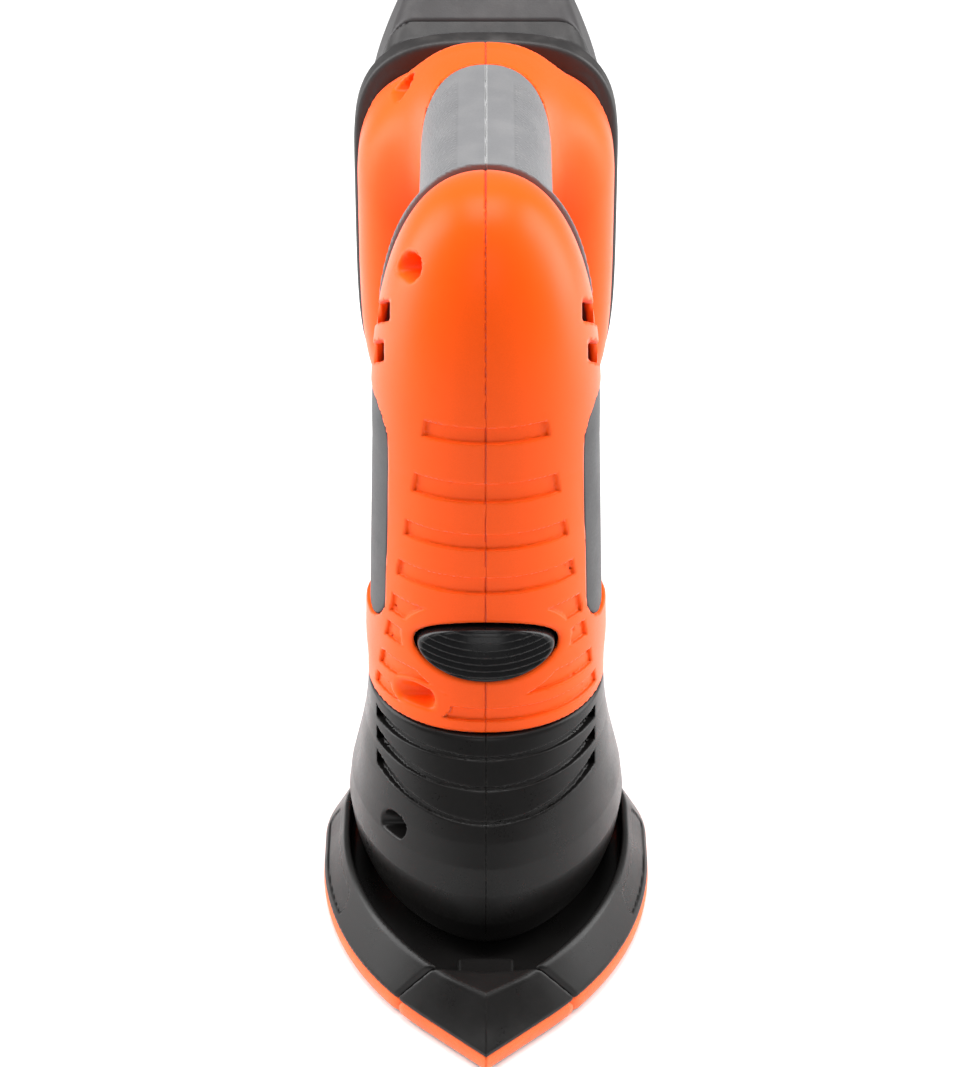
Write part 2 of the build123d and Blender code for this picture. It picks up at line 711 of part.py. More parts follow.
def main():
    os.makedirs("parts", exist_ok=True)
    cover = grip_overmold()
    shell = housing(cover, side_panels(1.2))
    panels = side_panels(1.15, -0.1)
    nose = nose_shell()
    parts = {
        "housing_left": left_of(shell),
        "housing_right": right_of(shell),
        "grip_overmold_left": left_of(cover),
        "grip_overmold_right": right_of(cover),
        "side_panel_left": left_of(panels),
        "side_panel_right": right_of(panels),
        "housing_screws": housing_screws(),
        "socket_ring": socket_ring(),
        "release_button": release_button(),
        "latch_ring": latch_ring(),
        "motor_can": motor_can(),
        "motor_magnets": motor_magnets(),
        "motor_endcap": motor_endcap(),
        "carbon_brushes": carbon_brushes(),
        "motor_bearings": motor_bearings(),
        "rotor_shaft": rotor_shaft(),
        "armature": armature(),
        "commutator": commutator(),
        "cooling_fan": cooling_fan(),
        "drive_coupling": drive_coupling(),
        "trigger": trigger(),
        "trigger_spring": trigger_spring(),
        "switch_body": switch_body(),
        "direction_selector": direction_selector(),
        "terminal_block": terminal_block(),
        "tool_blades": tool_blades(),
        "positive_lead": lead(-6, (-5, 84.1, 187), (-8, 129.0, 176)),
        "negative_lead": lead(6, (5, 84.1, 187), (8, 129.0, 176)),
        "nose_left": left_of(nose),
        "nose_right": right_of(nose),
        "nose_screws": nose_screws(),
        "neck": neck(),
        "bearing_carrier": bearing_carrier(),
        "shaft_bearings": Compound([bearing(44.05), bearing(58.0)]),
        "flex_posts": flex_posts(),
        "eccentric_shaft": eccentric_shaft(),
        "drive_socket": drive_socket(),
        "counterweight": counterweight(),
        "retaining_ring": retaining_ring(),
        "platen_bearing": bearing(17.0, -ORBIT_RADIUS),
        "platen": platen(),
        "foam_pad": main_layer(0, HOOK_TOP, FOAM_TOP),
        "hook_face": main_layer(HOOK_INSET, 0, HOOK_TOP),
        "tip_carrier": tip_carrier(),
        "tip_foam": tip_layer(0, HOOK_TOP, FOAM_TOP),
        "tip_hook_face": tip_layer(HOOK_INSET, 0, HOOK_TOP),
        "tip_screw": tip_screw(),
        "battery_front_shell": battery_front_shell(),
        "battery_rear_shell": battery_rear_shell(),
        "battery_cells": battery_cells(),
        "cell_holder": cell_holder(),
        "battery_terminals": battery_terminals(),
        "battery_latch": battery_latch(),
    }
    for name, shape in parts.items():
        save(name, shape)


main()
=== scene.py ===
import json
import math

import bpy
import numpy as np
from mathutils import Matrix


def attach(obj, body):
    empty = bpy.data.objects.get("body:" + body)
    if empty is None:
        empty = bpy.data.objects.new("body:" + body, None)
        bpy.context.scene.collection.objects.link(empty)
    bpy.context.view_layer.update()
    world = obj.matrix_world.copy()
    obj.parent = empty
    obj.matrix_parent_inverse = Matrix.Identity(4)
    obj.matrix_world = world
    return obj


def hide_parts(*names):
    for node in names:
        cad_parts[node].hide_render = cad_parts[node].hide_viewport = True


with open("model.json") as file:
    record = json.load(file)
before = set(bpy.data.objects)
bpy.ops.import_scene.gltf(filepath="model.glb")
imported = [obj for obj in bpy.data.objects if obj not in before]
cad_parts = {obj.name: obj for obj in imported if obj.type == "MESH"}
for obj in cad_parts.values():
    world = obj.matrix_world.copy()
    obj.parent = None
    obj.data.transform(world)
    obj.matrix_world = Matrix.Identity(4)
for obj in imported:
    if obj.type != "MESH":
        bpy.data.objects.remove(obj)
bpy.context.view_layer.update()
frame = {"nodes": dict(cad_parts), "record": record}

# Cordless detail sander. The moulded shells are rebuilt here as smooth distance fields, in mm, in the
# frame of the CAD: X right, -Y the pointed front, Z up, origin on the motor axis at the pad's underside.

MM = 0.001

# ---- barrel, handle and foot ----
BARREL_BOTTOM, BARREL_WAIST, BARREL_TOP = 72.4, 150.0, 226.0
BARREL_LOW_RADIUS, BARREL_WAIST_RADIUS = 33.4, 31.3
DOME_POWER = 2.45
WALL = 2.4
SEAM_ROUND = 0.1
SEAM_ZONE = [(-0.9, 0.9, 0.3)]
NO_ZONES = ([], [], [])
OVERMOLD_DEPTH = 1.6
OVERMOLD_FRONT_Y, OVERMOLD_REAR_Y = 12.0, 112.0
FOOT_FRONT_Y, FOOT_REAR_Y = 119.0, 143.0
HOUSING_BOSSES = [(-12.0, 206.8), (-27.0, 80.8), (27.1, 82.5), (128.0, 190.8), (125, 91), (88, 170)]
# the two front counterbores end early, short of the grooved front
HOUSING_SEATS = (-14.5, -14, -8, -8, -8, -8)
BUTTON_Z, BUTTON_HALF_WIDTH, BUTTON_HALF_HEIGHT = 98.8, 18.8, 8.6
# height, thickness of the arc grooves on the front of the barrel, top to bottom
GROOVES = [(166.8, 4.6), (149.3, 5.7), (134.0, 4.8), (120.3, 5.1), (107.4, 6.0), (98.0, 5.2), (87.0, 5.0), (78.4, 4.2)]
GROOVE_DEPTH = 1.05
# height, distance of the recess floor from the middle plane
VENTS = [(174.2, 26.9), (186.5, 25.2)]
VENT_HALF = 3.4
VENT_TILT = 0.65

# ---- head and pad ----
NOSE_BOSSES = [(-33, 40.5), (27, 40.5)]
# height on the middle line, rise towards the sides
NOSE_GROOVES = [(66.2, 0.8), (58.2, 2.8), (49.3, 5.6)]
PAD_HALF_WIDTH, PAD_SIDE_RADIUS = 47.2, 97.5
PAD_TIP_HALF_ANGLE = math.radians(46)
PAD_STRAIGHT, PAD_REAR_REACH = 5.0, 42.0
FOAM_TOP, PLATEN_LIP_TOP, PLATEN_FLOOR_TOP, PLATEN_RIM_TOP = 5.8, 7.2, 8.5, 18.6
ORBIT_RADIUS = 0.8
POSTS = [(-20, 13), (20, 13), (-15, -19), (15, -19)]


# ---------------------------------------------------------------- distance field tools
def soft_min(a, b, k):
    h = np.maximum(k - np.abs(a - b), 0.0) / k
    return np.minimum(a, b) - h * h * k / 4


def soft_max(a, b, k):
    return -soft_min(-a, -b, k)


def cut(a, b, k=0.4):
    """Field a with b taken away and the new edge rounded."""
    return soft_max(a, -b, k)


def length(a, b):
    return np.sqrt(a * a + b * b)


def box(x, y, z, lo, hi, r=0.0):
    """Box between corners lo and hi with rounded edges."""
    qx = np.abs(x - (lo[0] + hi[0]) / 2) - (hi[0] - lo[0]) / 2 + r
    qy = np.abs(y - (lo[1] + hi[1]) / 2) - (hi[1] - lo[1]) / 2 + r
    qz = np.abs(z - (lo[2] + hi[2]) / 2) - (hi[2] - lo[2]) / 2 + r
    out = np.sqrt(np.maximum(qx, 0) ** 2 + np.maximum(qy, 0) ** 2 + np.maximum(qz, 0) ** 2)
    return out + np.minimum(np.maximum(qx, np.maximum(qy, qz)), 0) - r


def rod_x(x, y, z, radius, x0, x1, cy, cz):
    """Cylinder lying along X."""
    return np.maximum(length(y - cy, z - cz) - radius, np.maximum(x0 - x, x - x1))


def disc(x, y, z, radius, z0, z1, cx=0.0, cy=0.0):
    """Upright cylinder."""
    return np.maximum(length(x - cx, y - cy) - radius, np.maximum(z0 - z, z - z1))


def section(u, v, half, low, high, mid, n_low, n_high):
    """Superellipse in u and v, whose sizes may change from point to point."""
    up = v > mid
    reach = np.where(up, high - mid, mid - low)
    n = np.where(up, n_high, n_low)
    a = np.abs(u) / half + 1e-6
    b = np.abs(v - mid) / reach + 1e-6
    g = (a ** n + b ** n) ** (1 / n)
    slope = length(a ** (n - 1) / half, b ** (n - 1) / reach) * g ** (1 - n)
    return (g - 1) / (slope + 1e-6)


def smooth_step(v, start, end):
    t = np.clip((v - start) / (end - start), 0, 1)
    return t * t * (3 - 2 * t)


# ---------------------------------------------------------------- meshing
def gradient(field, p, e):
    x, y, z = p[:, 0], p[:, 1], p[:, 2]
    slope = [
        field(x + e, y, z) - field(x - e, y, z),
        field(x, y + e, z) - field(x, y - e, z),
        field(x, y, z + e) - field(x, y, z - e),
    ]
    return field(x, y, z), np.stack(slope, 1) / (2 * e)


def cell_points(f, cells):
    """Mean of the edge crossings in each cell, in cell units."""
    total = np.zeros((len(cells), 3))
    count = np.zeros(len(cells))
    for corner in np.ndindex(2, 2, 2):
        for d in range(3):
            if corner[d]:
                continue
            other = list(corner)
            other[d] = 1
            fa = f[tuple((cells + corner).T)]
            fb = f[tuple((cells + other).T)]
            cross = (fa < 0) != (fb < 0)
            p = np.tile(np.array(corner, float), (len(cells), 1))
            p[:, d] = np.where(cross, fa / np.where(cross, fa - fb, 1), 0)
            total += p * cross[:, None]
            count += cross
    return cells + total / count[:, None]


def cell_quads(inside, number):
    """One quad round each grid edge that the surface crosses."""
    quads = []
    for d in range(3):
        e, g = (d + 1) % 3, (d + 2) % 3
        low = np.take(inside, range(inside.shape[d] - 1), axis=d)
        high = np.take(inside, range(1, inside.shape[d]), axis=d)
        edge = np.argwhere(low != high)
        keep = (edge[:, e] > 0) & (edge[:, g] > 0)
        keep &= (edge[:, e] < number.shape[e]) & (edge[:, g] < number.shape[g])
        edge = edge[keep]
        outward = low[tuple(edge.T)]
        ring = []
        for de, dg in ((1, 1), (0, 1), (0, 0), (1, 0)):
            c = edge.copy()
            c[:, e] -= de
            c[:, g] -= dg
            ring.append(number[tuple(c.T)])
        quad = np.stack(ring, 1)
        quad[~outward] = quad[~outward][:, ::-1]
        quads.append(quad)
    quads = np.concatenate(quads)
    return quads[(quads >= 0).all(1)]


def grid_line(lo, hi, step, zones):
    """Grid positions from lo to hi, closer together inside the zones, each (start, end, step)."""
    places = [lo - 2 * step]
    while places[-1] < hi + 2 * step:
        fine = [zone[2] for zone in zones if zone[0] <= places[-1] < zone[1]]
        places.append(places[-1] + (fine[0] if fine else step))
    return np.array(places)


def mesh_field(field, lo, hi, step, zones=NO_ZONES):
    """Surface of a field inside a box: a net of quads whose points are then pulled onto the surface."""
    axes = [grid_line(lo[i], hi[i], step, zones[i]) for i in range(3)]
    x, y, z = np.ix_(*[a.astype(np.float32) for a in axes])
    f = np.broadcast_to(field(x, y, z), [len(a) for a in axes])
    inside = f < 0
    full = np.zeros([n - 1 for n in f.shape], np.int8)
    for i, j, k in np.ndindex(2, 2, 2):
        full += inside[i:i + full.shape[0], j:j + full.shape[1], k:k + full.shape[2]]
    active = (full > 0) & (full < 8)
    cells = np.argwhere(active)
    number = np.full(full.shape, -1, np.int32)
    number[active] = np.arange(len(cells))
    quads = cell_quads(inside, number)
    inner = cell_points(f, cells) - cells
    start = np.empty(inner.shape)
    size_limit = np.zeros(len(cells))
    for i, axis in enumerate(axes):
        width = np.diff(axis)[cells[:, i]]
        start[:, i] = axis[cells[:, i]] + inner[:, i] * width
        size_limit += 0.8 * width / 3
    verts = start.copy()
    for _ in range(3):
        value, slope = gradient(field, verts, 0.06)
        move = -value[:, None] * slope / np.maximum((slope ** 2).sum(1), 0.1)[:, None]
        drift = verts + move - start
        size = np.linalg.norm(drift, axis=1)
        verts = start + drift * np.minimum(1, size_limit / np.maximum(size, 1e-9))[:, None]
    _, slope = gradient(field, verts, 0.15)
    normals = slope / np.maximum(np.linalg.norm(slope, axis=1), 1e-9)[:, None]
    return verts, quads, normals


def field_piece(name, field, lo, hi, step, body, nodes, material, zones=NO_ZONES):
    """Object meshed from a field, riding on a body in place of CAD nodes."""
    verts, quads, normals = mesh_field(field, lo, hi, step, zones)
    mesh = bpy.data.meshes.new(name)
    mesh.from_pydata((verts * MM).tolist(), [], quads.tolist())
    mesh.polygons.foreach_set("use_smooth", [True] * len(mesh.polygons))
    mesh.normals_split_custom_set_from_vertices(normals.tolist())
    mesh.materials.append(material)
    obj = bpy.data.objects.new(name, mesh)
    bpy.context.collection.objects.link(obj)
    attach(obj, body)
    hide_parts(*nodes)
    return obj


def halves(name, field, lo, hi, step, body, material, zones=(SEAM_ZONE, [], [])):
    """Left and right half of a field, parted by a fine rounded seam on the middle plane."""
    def left(x, y, z):
        return soft_max(field(x, y, z), x, SEAM_ROUND)

    def right(x, y, z):
        return soft_max(field(x, y, z), -x, SEAM_ROUND)

    far = -lo[0]
    field_piece(f"{name}_left_shell", left, lo, (0, hi[1], hi[2]), step, body, [f"{name}_left"], material,
                zones)
    field_piece(f"{name}_right_shell", right, (0, lo[1], lo[2]), (far, hi[1], hi[2]), step, body,
                [f"{name}_right"], material, zones)


# ---------------------------------------------------------------- power unit fields
def barrel_radius(z):
    return BARREL_LOW_RADIUS - (BARREL_LOW_RADIUS - BARREL_WAIST_RADIUS) * (z - BARREL_BOTTOM) / (
        BARREL_WAIST - BARREL_BOTTOM)


def barrel(x, y, z):
    """Barrel with flattened flanks and a domed top."""
    n = 2.12
    r = ((np.abs(x) + 1e-4) ** n + (np.abs(y) + 1e-4) ** n) ** (1 / n)
    low = r - barrel_radius(z)
    a = r / BARREL_WAIST_RADIUS + 1e-6
    b = np.maximum(z - BARREL_WAIST, 0) / (BARREL_TOP - BARREL_WAIST) + 1e-6
    g = (a ** DOME_POWER + b ** DOME_POWER) ** (1 / DOME_POWER)
    slope = length(a ** (DOME_POWER - 1) / BARREL_WAIST_RADIUS, b ** (DOME_POWER - 1) / (BARREL_TOP - BARREL_WAIST))
    dome = (g - 1) / (slope * g ** (1 - DOME_POWER) + 1e-6)
    return np.where(z < BARREL_WAIST, low, dome)


def handle(x, y, z):
    t = np.clip((y - 2) / 122, 0, 1)
    half = 18.4 + 0.3 * t
    low = 162.5 - 1.5 * t
    high = 212.0 - 7.0 * t
    body = section(x, z, half, low, high, (low + high) / 2 + 2, 2.7, 2.5)
    return soft_max(body, np.maximum(2 - y, y - 128), 1.0)


def foot(x, y, z):
    face = section(x, z, 38.9, 77.5, 192.2, 157, 5.0, 2.6)
    front = FOOT_FRONT_Y - y
    return soft_max(soft_max(face, front, 17), y - FOOT_REAR_Y, 0.6)


def body(x, y, z):
    """Outer surface of barrel, handle and foot, blended into one another."""
    shape = soft_min(barrel(x, y, z), handle(x, y, z), 9)
    shape = soft_min(shape, foot(x, y, z), 20)
    return soft_max(shape, BARREL_BOTTOM - z, 0.8)


def cover_zone(x, y, z):
    """Region wrapped by the grip cover: behind the dome, over the handle's back and sides, rounded at the rear."""
    level = 176 + 6 * smooth_step(y, 20, 60)
    rear = length(np.maximum(y - (OVERMOLD_REAR_Y - 18), 0), x * 0.98) - 18.6
    zone = soft_max(OVERMOLD_FRONT_Y - y, level - z, 14)
    return soft_max(zone, np.where(y > OVERMOLD_REAR_Y - 18, rear, -20), 1.5)


def cover_outer(x, y, z):
    """Grip cover's outside: a raised collar behind the dome, then a smooth middle band between two textured pads."""
    collar = smooth_step(y, OVERMOLD_FRONT_Y - 1.2, OVERMOLD_FRONT_Y + 0.4) * (1 - smooth_step(y, 15.5, 19))
    step = smooth_step(np.abs(x), 7.9, 8.5) * smooth_step(y, 22, 24) * (1 - smooth_step(y, 98, 104))
    ridge = 0.15 * np.exp(-(x / 0.35) ** 2)
    return body(x, y, z) - 2.0 * collar - 0.22 * step - ridge


def cover(x, y, z):
    shell = soft_max(cover_outer(x, y, z), -(body(x, y, z) + OVERMOLD_DEPTH), 0.5)
    return soft_max(shell, cover_zone(x, y, z) + 0.12, 0.8)


def panel_zone(x, y, z):
    """Rounded inlay on each flank."""
    qy = np.abs(y - 1.5) - 19 + 11
    qz = np.abs(z - 131.5) - 35 + 11
    out = length(np.maximum(qy, 0), np.maximum(qz, 0)) + np.minimum(np.maximum(qy, qz), 0) - 11
    return np.maximum(out, 20 - np.abs(x))


def panel(x, y, z):
    shape = body(x, y, z)
    shell = soft_max(shape + 0.35, -(shape + 1.25), 0.3)
    return soft_max(shell, panel_zone(x, y, z) + 0.1, 0.5)


def groove_limit(z):
    """Half-width of the grooved front, wider lower down."""
    return 15.6 + (166.8 - z) * 0.158


def barrel_grooves(x, y, z, outer):
    """Arc grooves with sloping ends, kept clear of the button's surround and of the lower screw hole."""
    bands = 1e3
    for height, thickness in GROOVES:
        bands = np.minimum(bands, np.abs(z - height) - thickness / 2)
    side = (np.abs(x) - groove_limit(z) - 0.9 * (outer + GROOVE_DEPTH)) * 0.75
    surround = (length(x / 23.5, (z - BUTTON_Z) / 16.4) - 1) * 17
    hole = (length((x + 18) / 8.5, (z - 80.6) / 6.1) - 1) * 6
    zone = np.maximum(np.maximum(bands, side), np.maximum(-surround, -hole))
    return np.maximum(zone, y + 5)


def button_oval(x, z, grow):
    a, b = BUTTON_HALF_WIDTH + grow, BUTTON_HALF_HEIGHT + grow
    return (length(x / a, (z - BUTTON_Z) / b) - 1) * b


def screw_holes(x, y, z, bosses, seats):
    """Counterbores from the left with their clearance holes."""
    holes = 1e3
    for (cy, cz), seat in zip(bosses, seats):
        bore = soft_max(length(y - cy, z - cz) - 4.1, cz - 2.7 - z, 0.8)
        holes = np.minimum(holes, soft_max(bore, x - seat, 2.5))
        holes = np.minimum(holes, rod_x(x, y, z, 1.6, -90, 12, cy, cz))
    return holes


def boss_rods(x, y, z, bosses, reach):
    rods = 1e3
    for cy, cz in bosses:
        rods = np.minimum(rods, rod_x(x, y, z, 5.4, -reach, reach, cy, cz))
    return rods


def vents(x, y, z):
    """Notches in both flanks, lower at the rear: a recess in front that opens inwards towards the rear."""
    slots = 1e3
    tilted = z + VENT_TILT * y
    for height, floor in VENTS:
        low, high = height - VENT_HALF, height + VENT_HALF
        slots = np.minimum(slots, box(np.abs(x), y, tilted, (floor, -20, low), (50, 6, high), 0.3))
        slots = np.minimum(slots, box(np.abs(x), y, tilted, (20, 1, low), (50, 6, high), 0.3))
    return slots


def housing(x, y, z):
    outer = body(x, y, z)
    bulge = 0.9 * np.exp(-((np.abs(x) - 32) / 9) ** 2 - ((y - 2) / 9) ** 2 - ((z - 91) / 11) ** 4)
    outer = outer - bulge
    shell = cut(outer, outer + WALL, 0.3)
    backing = 1e3
    for height, depth in VENTS:
        low, high = height - VENT_HALF - 2, height + VENT_HALF + 2
        wall = box(np.abs(x), y, z + VENT_TILT * y, (depth - 1.9, -20, low), (31.2, 1, high))
        backing = np.minimum(backing, wall)
    rods = soft_max(np.minimum(boss_rods(x, y, z, HOUSING_BOSSES, 36), backing), outer + 0.8, 0.3)
    shell = soft_min(shell, rods, 0.6)
    floor = np.maximum(np.maximum(outer + 1, z - 78), -(length(x, y) - 22.8))
    shell = np.minimum(shell, floor)
    shell = cut(shell, disc(x, y, z, 31.2, 60, 75), 0.2)
    dock = np.maximum(outer + 1, np.maximum(131.5 - y, y - FOOT_REAR_Y))
    shell = np.minimum(shell, dock)
    shell = cut(shell, box(x, y, z, (-30.2, 133.5, 50), (30.2, 137.9, 179)), 0.2)
    shell = cut(shell, box(x, y, z, (-26.2, 137, 50), (26.2, 150, 179)), 0.2)
    shell = cut(shell, box(x, y, z, (-18.6, 129.4, 170.9), (18.6, 140.6, 186.1)), 0.2)
    shell = cut(shell, np.maximum(cover_zone(x, y, z) - 0.12, -(outer + OVERMOLD_DEPTH + 0.05)), 0.7)
    shell = cut(shell, np.maximum(panel_zone(x, y, z) - 0.12, -(outer + 1.3)), 0.8)
    shell = cut(shell, np.maximum(barrel_grooves(x, y, z, outer), -(outer + GROOVE_DEPTH)), 0.4)
    shell = cut(shell, vents(x, y, z), 0.4)
    shell = cut(shell, np.maximum(button_oval(x, z, 0.8), y + 20), 1.6)
    shell = cut(shell, screw_holes(x, y, z, HOUSING_BOSSES, HOUSING_SEATS), 1.2)
    shell = cut(shell, box(x, y, z, (-9, 43, 140), (9, 69, 170), 1.5), 1.0)
    return cut(shell, box(x, y, z, (-60, 33.3, 169.3), (60, 40.7, 175.7), 0.6), 0.8)


def release_button(x, y, z):
    """Domed oval key with stepped horizontal ridges, and the flange that keeps it in."""
    r = length(x, y)
    crown = 35.4 - 0.9 * ((z - BUTTON_Z) / 9) ** 2 - 0.9 * (x / 18) ** 2
    wave = (z - BUTTON_Z + 2.2 - 0.006 * x * x) / 2.3
    ridge = wave - np.floor(wave)
    ridge = np.where(ridge < 0.8, ridge / 0.8, (1 - ridge) / 0.2)
    crown = crown - 0.9 * ridge * smooth_step(-button_oval(x, z, 0), 0.2, 0.9)
    cap = soft_max(r - crown, button_oval(x, z, 0), 1.2)
    cap = np.maximum(cap, 29.0 - r)
    flange = np.maximum(np.maximum(r - 29.6, 27.2 - r), button_oval(x, z, 2.0))
    return np.maximum(np.minimum(cap, flange), y)


# ---------------------------------------------------------------- head fields
NOSE_ROWS = np.array([
    # height, half-width, front, back, widest at, front power
    (10, 35.0, -52.5, 33.5, 4, 1.72),
    (14, 36.8, -53.0, 35.0, 4, 1.75),
    (20, 38.6, -52.6, 37.0, 4, 1.8),
    (29, 39.7, -51.0, 38.3, 3, 1.86),
    (37, 38.8, -49.0, 38.0, 2, 1.9),
    (44, 37.3, -46.6, 37.2, 1, 1.95),
    (51, 35.8, -43.7, 36.2, 0, 2.0),
    (58, 34.5, -40.6, 35.2, 0, 2.0),
    (65, 33.7, -37.6, 34.2, 0, 2.0),
    (72, 33.3, -34.6, 33.5, 0, 2.05),
    (78, 33.2, -33.0, 33.0, 0, 2.05),
])


def nose_side(x, y, z):
    half, front, back, mid, power = [np.interp(z, NOSE_ROWS[:, 0], NOSE_ROWS[:, i]) for i in range(1, 6)]
    return section(x, y, half, front, back, mid, power, 2.2)


def nose_grooves(x, y, z):
    """Three arc grooves, fine at the middle and opening into deep wedges at the sides."""
    t = np.clip(np.abs(x) / 30, 0, 1.2)
    bands = 1e3
    for height, rise in NOSE_GROOVES:
        centre = height + rise * t ** 2
        low = centre - 0.45 - 1.5 * t ** 2
        high = centre + 0.45 + 1.0 * t ** 2
        bands = np.minimum(bands, np.maximum(low - z, z - high))
    return np.maximum(np.maximum(bands, np.abs(x) - 30.5), y + 3)


def nose(x, y, z):
    side = nose_side(x, y, z)
    outer = soft_max(side, np.maximum(14 - z, z - 72), 1.2)
    t = np.clip(np.abs(x) / 30, 0, 1)
    groove = np.maximum(nose_grooves(x, y, z), -(outer + 0.5 + 1.6 * t * t))
    shell = cut(outer, np.maximum(side + 2.5, z - 69.8), 0.3)
    ring = np.maximum(outer + 1, np.maximum(43.4 - z, z - 53.6))
    shell = np.minimum(shell, np.maximum(ring, 28.5 - length(x, y)))
    rods = np.maximum(boss_rods(x, y, z, NOSE_BOSSES, 27), outer + 0.8)
    shell = np.minimum(shell, rods)
    shell = cut(shell, disc(x, y, z, 31.1, 47, 50.05), 0.1)
    shell = cut(shell, disc(x, y, z, 20.2, 60, 80), 0.3)
    shell = cut(shell, groove, 0.35)
    return cut(shell, screw_holes(x, y, z, NOSE_BOSSES, (-17, -17)), 0.6)


def pad_field(x, y):
    """Distance to the iron-shaped outline of the pad."""
    ax = np.abs(x)
    cx = PAD_HALF_WIDTH - PAD_SIDE_RADIUS
    turn = PAD_TIP_HALF_ANGLE
    tip_y = -PAD_STRAIGHT - PAD_SIDE_RADIUS * math.sin(turn) - (cx + PAD_SIDE_RADIUS * math.cos(turn)) / math.tan(turn)
    side_arc = length(ax - cx, y + PAD_STRAIGHT) - PAD_SIDE_RADIUS
    tip_edge = ax * math.cos(turn) - (y - tip_y) * math.sin(turn)
    angle_ok = (ax - cx) * math.sin(turn) + (y + PAD_STRAIGHT) * math.cos(turn) > 0
    front = np.where(angle_ok, side_arc, tip_edge)
    rear = section(ax, y, PAD_HALF_WIDTH, PAD_STRAIGHT - PAD_REAR_REACH, PAD_STRAIGHT + PAD_REAR_REACH, PAD_STRAIGHT, 2.0, 2.0)
    straight = ax - PAD_HALF_WIDTH
    return np.where(y < -PAD_STRAIGHT, front, np.where(y > PAD_STRAIGHT, rear, straight))


def tip_line(x, y, grow=0.0):
    """Positive behind the seam between the tip and the rest of the platen."""
    return y + 70.6 - 0.105 * np.abs(x) - 0.0012 * x * x + grow


def platen_form(x, y, z):
    """Bevelled block that the platen and its tip are cut from; the bevel is wider at the tip."""
    edge = pad_field(x, y)
    t = np.clip((z - PLATEN_LIP_TOP) / (PLATEN_RIM_TOP - PLATEN_LIP_TOP), 0, 1)
    bevel = 6.2 + 3.2 * smooth_step(-y, 72, 88)
    outer = (edge + bevel * t) * 0.85
    shape = soft_max(outer, z - PLATEN_RIM_TOP, 1.3)
    return soft_max(shape, FOAM_TOP - z, 0.5)


def platen(x, y, z):
    shape = platen_form(x, y, z)
    basin = soft_max(pad_field(x, y) + 7.7, PLATEN_FLOOR_TOP - z, 1.5)
    shape = cut(shape, basin, 0.9)
    recess = soft_max(np.abs(y + 12) - 26 + 0.4 * z, np.abs(z - 12) - 3.2, 2.5)
    shape = cut(shape, np.maximum(recess, -(platen_form(x, y, z) + 0.4)), 0.6)
    shape = soft_max(shape, -tip_line(x, y, -0.2), 0.8)
    hub = disc(x, y, z, 14, 8, 24, 0, -ORBIT_RADIUS)
    shape = soft_min(shape, hub, 1.0)
    for cx, cy in POSTS:
        shape = soft_min(shape, disc(x, y, z, 7, 8, 19, cx, cy - ORBIT_RADIUS), 0.8)
    for degrees in (35, 90, 145, 215, 325):
        c, s = math.cos(math.radians(degrees)), math.sin(math.radians(degrees))
        u, v = x * c + (y + ORBIT_RADIUS) * s, -x * s + (y + ORBIT_RADIUS) * c
        rib = np.maximum(box(u, v, z, (12, -0.9, 8), (32, 0.9, 12.2)), length(x, y - 4) - 33)
        shape = soft_min(shape, rib, 0.6)
    for cx, cy in POSTS:
        shape = cut(shape, disc(x, y, z, 5.3, 8.5, 30, cx, cy - ORBIT_RADIUS), 0.3)
    shape = cut(shape, disc(x, y, z, 11.05, 17, 30, 0, -ORBIT_RADIUS), 0.3)
    shape = cut(shape, disc(x, y, z, 9.3, 12, 30, 0, -ORBIT_RADIUS), 0.2)
    return cut(shape, disc(x, y, z, 1.7, 0, 30, 0, -62), 0.2)


def tip_carrier(x, y, z):
    shape = soft_max(platen_form(x, y, z), tip_line(x, y, 0.15), 0.8)
    tongue = box(x, y, z, (-8, -74, 8.6), (8, -56, 11.5), 1.2)
    shape = soft_min(shape, tongue, 1.5)
    return cut(shape, disc(x, y, z, 1.2, 0, 10.8, 0, -62), 0.2)


# ---------------------------------------------------------------- battery fields
def battery_slab(x, z, half, low, high, power):
    return section(x, z, half, low, high, 150, 5.5, power)


def battery_form(x, y, z):
    half = 36.6 - 5.6 * smooth_step(z, 166, 204)
    face = battery_slab(x, z, half, 80, 213, 3.6)
    face = face + 0.03 * np.maximum(y - 156, 0)
    face = soft_max(face, (z - 195.5 - (y - 151) * 0.9) * 0.74, 5)
    shape = soft_max(face, y - 187, 13)
    return soft_max(shape, 143.4 - y, 0.8)


def battery_front(x, y, z):
    flange = section(x, z, 40.2, 77.8, 198.6, 160, 5.5, 3.0)
    flange = soft_max(flange, np.abs(y - 147.2) - 3.8, 1.6)
    shape = soft_min(flange, np.maximum(battery_form(x, y, z), y - 156), 0.6)
    hollow = np.maximum(battery_form(x, y, z) + 2.0, 148 - y)
    shape = cut(shape, hollow, 0.3)
    tongue = np.minimum(box(x, y, z, (-30, 133.7, 84), (30, 137.7, 178), 0.4),
                        box(x, y, z, (-26, 137, 84), (26, 146, 178), 0.2))
    shape = np.minimum(shape, tongue)
    shape = cut(shape, box(x, y, z, (-22, 139.5, 98), (22, 151, 160)), 0.2)
    shape = cut(shape, box(x, y, z, (-12.3, 133, 50), (12.3, 146, 96.5)), 0.3)
    for blade in (-13, 0, 13):
        shape = cut(shape, box(x, y, z, (blade - 1.9, 133, 164), (blade + 1.9, 140.2, 190)), 0.2)
    return shape


